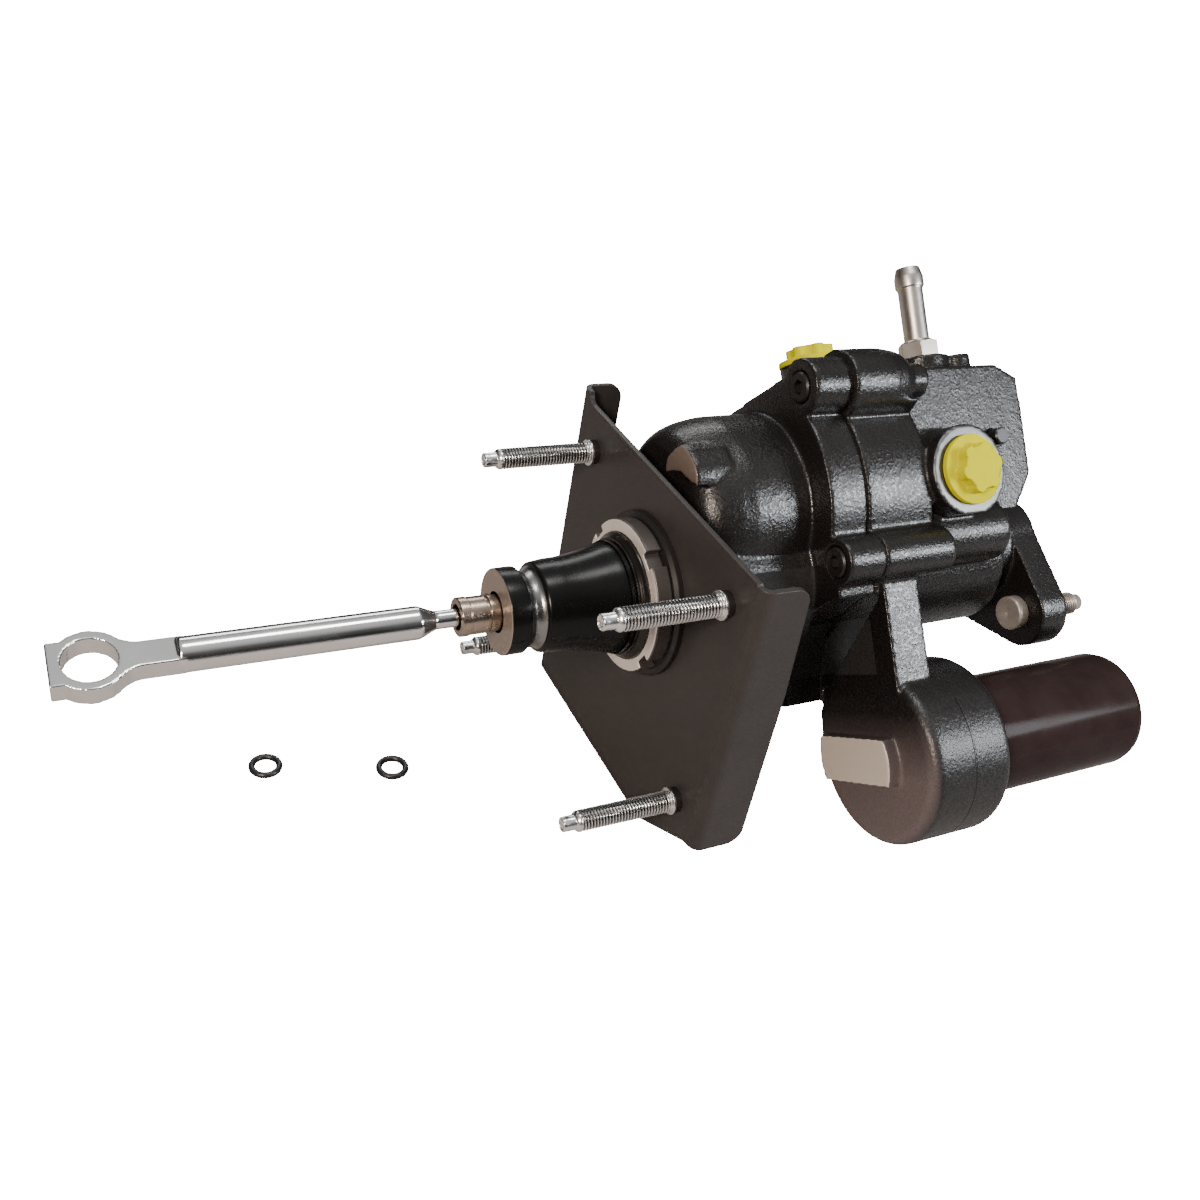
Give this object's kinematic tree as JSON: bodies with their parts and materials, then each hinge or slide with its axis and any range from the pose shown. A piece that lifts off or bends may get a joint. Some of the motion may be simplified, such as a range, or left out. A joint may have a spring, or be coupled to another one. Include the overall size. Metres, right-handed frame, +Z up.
{
  "type": "hydraulic brake booster",
  "caption": "Hydraulic brake booster: firewall bracket, cast valve housing, pressure accumulator, pedal pushrod and master cylinder flange.",
  "frame": {"origin": "on the booster's axis, at the bracket face that lies on the firewall", "axes": "+X along the booster's axis towards the master cylinder, +Z up in the vehicle, -Y the accumulator's side"},
  "size_m": [0.4975, 0.2176, 0.2436],
  "materials": {
    "cast_paint": "black semi-gloss paint over rough cast iron",
    "bracket_paint": "smooth satin dark coat on pressed steel",
    "stud_zinc": "bright zinc plate",
    "nut_steel": "turned face, pale",
    "washer_steel": "dark oiled steel",
    "seal_rubber": "smooth black nitrile",
    "dark_bolt": "black painted over with the housing",
    "dull_stud": "dull phosphate grey",
    "pushrod_chrome": "bright nickel plate",
    "socket_bronze": "turned bronze tone plating",
    "inner_steel": "ground steel",
    "spring_steel": "oil tempered wire",
    "yellow_cap": "bright yellow moulded cap",
    "fitting_zinc": "warm zinc plate",
    "can_lacquer": "glossy dark brown lacquer on drawn steel"
  },
  "bodies": {
    "root": {"mounting_bracket": "bracket_paint", "firewall_studs": "stud_zinc", "spanner_nut": "nut_steel", "nut_washer": "washer_steel", "cover": "cast_paint", "cover_seal": "seal_rubber", "cover_bolts": "dark_bolt", "input_seal": "seal_rubber", "input_seal_ring": "inner_steel", "housing": "cast_paint", "master_cylinder_studs": "dull_stud", "return_spring": "spring_steel", "spring_retainer": "inner_steel", "retainer_ring": "spring_steel", "spool_spring": "spring_steel", "spool_plug": "inner_steel", "spool_plug_seal": "seal_rubber", "spool_plug_ring": "spring_steel", "check_spring": "spring_steel", "check_plug": "dull_stud", "gallery_plug": "dark_bolt", "near_port_plug": "yellow_cap", "top_port_plug": "yellow_cap", "port_seal_rings": "seal_rubber", "return_fitting": "fitting_zinc", "accumulator_can": "can_lacquer", "accumulator_seal": "seal_rubber", "accumulator_ring": "spring_steel", "charging_plug": "dull_stud"},
    "input": {"input_socket": "socket_bronze", "input_rod": "inner_steel", "cross_pin": "inner_steel"},
    "grommet": {"pushrod_grommet": "seal_rubber"},
    "pushrod": {"pushrod": "pushrod_chrome"},
    "piston": {"power_piston": "inner_steel", "piston_seal": "seal_rubber", "output_rod": "inner_steel"},
    "spool": {"spool_sleeve": "inner_steel", "spool_valve": "inner_steel", "lever_pin": "inner_steel"},
    "lever": {"valve_lever": "inner_steel"},
    "gas_piston": {"accumulator_piston": "inner_steel", "accumulator_piston_seal": "seal_rubber"},
    "check_valve": {"check_ball": "inner_steel"}
  },
  "joints": [
    {"name": "input_stroke", "type": "slide", "parent": "root", "child": "input", "axis": [1, 0, 0], "range_m": [0, 0.034], "stiffness_N_per_m": 1500, "springref_m": -0.03, "deforming": ["spool_spring"]},
    {"name": "pushrod_yaw", "type": "hinge", "parent": "input", "child": "grommet", "pos_m": [-0.08, 0, 0], "axis": [0, 0, 1], "range_deg": [-3, 3]},
    {"name": "pushrod_pitch", "type": "hinge", "parent": "grommet", "child": "pushrod", "pos_m": [-0.08, 0, 0], "axis": [0, 1, 0], "range_deg": [-3, 3]},
    {"name": "piston_stroke", "type": "slide", "parent": "root", "child": "piston", "axis": [1, 0, 0], "range_m": [0, 0.034], "deforming": ["return_spring"]},
    {"name": "spool_shift", "type": "slide", "parent": "root", "child": "spool", "axis": [1, 0, 0], "range_m": [0, 0.0015]},
    {"name": "lever_swing", "type": "hinge", "parent": "spool", "child": "lever", "pos_m": [0.066, 0.02832, 0.03625], "axis": [0, -0.788, 0.6157], "range_deg": [0, 39]},
    {"name": "accumulator_float", "type": "slide", "parent": "root", "child": "gas_piston", "axis": [1, 0, 0], "range_m": [-0.03, 0.045]},
    {"name": "check_ball_lift", "type": "slide", "parent": "root", "child": "check_valve", "axis": [1, 0, 0], "range_m": [0, 0.0015], "stiffness_N_per_m": 300, "springref_m": -0.003, "deforming": ["check_spring"]}
  ],
  "couplings": [
    {"joint": "piston_stroke", "follows": "input_stroke", "ratio": 1},
    {"joint": "spool_shift", "follows": "input_stroke", "ratio": 0.044118},
    {"joint": "lever_swing", "follows": "input_stroke", "rad_per_m": 19.97}
  ]
}
